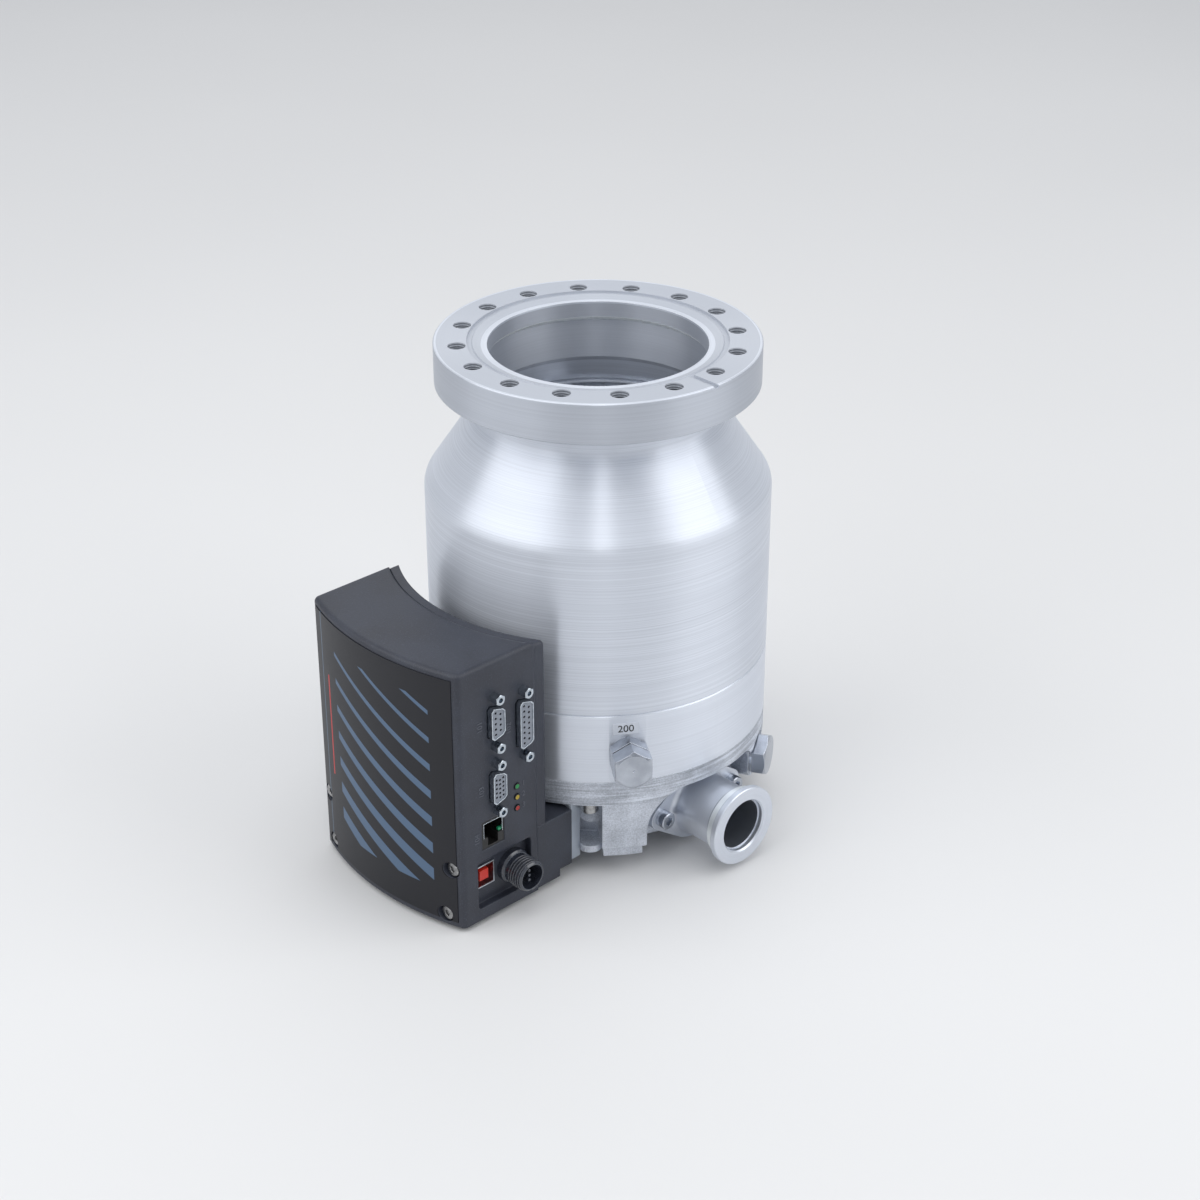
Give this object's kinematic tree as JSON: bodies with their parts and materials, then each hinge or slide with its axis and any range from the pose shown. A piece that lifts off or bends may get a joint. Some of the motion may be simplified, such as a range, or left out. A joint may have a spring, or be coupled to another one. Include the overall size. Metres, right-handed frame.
{
  "type": "turbomolecular pump",
  "caption": "Turbomolecular vacuum pump with a bolted knife-edge inlet flange, bladed rotor, small side foreline port and an attached drive controller",
  "frame": {"origin": "centre of the inlet flange face, on the rotor axis", "axes": "+Z out of the inlet along the rotor axis, +X out through the foreline port, the controller stands on the -Y side"},
  "size_m": [0.183, 0.2238, 0.242],
  "materials": {
    "turned_aluminium": "fine turned lines, satin",
    "polished_aluminium": "smooth machined, semi-bright",
    "cast_aluminium": "sand-blasted casting with faint cutter marks",
    "milled_aluminium": "milled, satin",
    "rotor_aluminium": "milled blades, satin",
    "stainless": "bright machined steel",
    "screw_steel": "plain steel",
    "bearing_steel": "ground and lapped",
    "ceramic": "polished dark ceramic",
    "carbon_fibre": "wound fibre in resin",
    "magnet": "nickel plated magnet",
    "copper": "enamelled copper wire",
    "laminated_steel": "stacked sheets, bonded",
    "cage_plastic": "woven laminate",
    "rubber": "matte moulded rubber",
    "felt": "pressed felt",
    "charcoal_plastic": "fine-grained moulded plastic",
    "front_film": "satin printed film",
    "bracket_metal": "light grey coating",
    "nickel": "nickel plated",
    "socket_black": "moulded insulator",
    "board_green": "solder mask",
    "light_pipe": "clear coloured light pipes",
    "usb_red": "moulded red insert in a metal shell"
  },
  "bodies": {
    "pump_body": {"housing": "turned_aluminium", "lower_ring": "polished_aluminium", "base_casting": "cast_aluminium", "base_cover": "milled_aluminium", "cover_screws": "screw_steel", "clamp_screws": "screw_steel", "rubber_feet": "rubber", "foreline_port": "polished_aluminium", "foreline_seal": "rubber", "foreline_screws": "stainless", "vent_adapter": "stainless", "purge_seal": "stainless", "purge_plug": "stainless", "bearing_star": "milled_aluminium", "star_cap": "milled_aluminium", "pocket_ring": "milled_aluminium", "fixed_magnet_rings": "magnet", "touchdown_ring": "bearing_steel", "drag_stator": "milled_aluminium", "motor_tube": "milled_aluminium", "motor_core": "laminated_steel", "motor_winding": "copper", "bearing_outer_ring": "bearing_steel", "damper_ring": "rubber", "wick_cartridge": "felt", "controller_cover": "charcoal_plastic", "controller_back_plate": "charcoal_plastic", "controller_foot": "charcoal_plastic", "controller_bracket": "bracket_metal", "front_overlay": "front_film", "front_screws": "screw_steel", "socket_shells": "nickel", "socket_insulators": "socket_black", "jack_screws": "nickel", "control_board": "board_green", "status_lights": "light_pipe", "network_jack": "socket_black", "usb_socket": "usb_red", "power_socket": "socket_black", "stator_disc_1": "rotor_aluminium", "stator_disc_2": "rotor_aluminium", "stator_disc_3": "rotor_aluminium", "stator_disc_4": "rotor_aluminium", "spacer_ring_1": "milled_aluminium", "spacer_ring_2": "milled_aluminium", "spacer_ring_3": "milled_aluminium", "spacer_ring_4": "milled_aluminium", "spacer_ring_5": "milled_aluminium"},
    "rotor_group": {"rotor": "rotor_aluminium", "drag_cylinder": "carbon_fibre", "shaft": "stainless", "spinning_magnet_rings": "magnet", "motor_magnet": "magnet", "bearing_inner_ring": "bearing_steel", "oil_nut": "stainless"},
    "cage_group": {"bearing_balls": "ceramic", "bearing_cage": "cage_plastic"},
    "vent_slide": {"vent_seal": "rubber"},
    "vent_screw": {"vent_plug": "stainless"}
  },
  "joints": [
    {"name": "rotor_spin", "type": "hinge", "parent": "pump_body", "child": "rotor_group", "pos_m": [0, 0, -0.1], "axis": [0, 0, 1], "continuous": true},
    {"name": "cage_spin", "type": "hinge", "parent": "pump_body", "child": "cage_group", "pos_m": [0, 0, -0.1995], "axis": [0, 0, 1], "continuous": true},
    {"name": "vent_travel", "type": "slide", "parent": "pump_body", "child": "vent_slide", "axis": [0.832, -0.5548, 0], "range_m": [0, 0.00272]},
    {"name": "vent_turn", "type": "hinge", "parent": "vent_slide", "child": "vent_screw", "pos_m": [0.07488, -0.04994, -0.1735], "axis": [0.832, -0.5548, 0], "range_deg": [0, 1080]}
  ],
  "couplings": [
    {"joint": "cage_spin", "follows": "rotor_spin", "ratio": 0.4},
    {"joint": "vent_turn", "follows": "vent_travel", "rad_per_m": 6927.4}
  ]
}
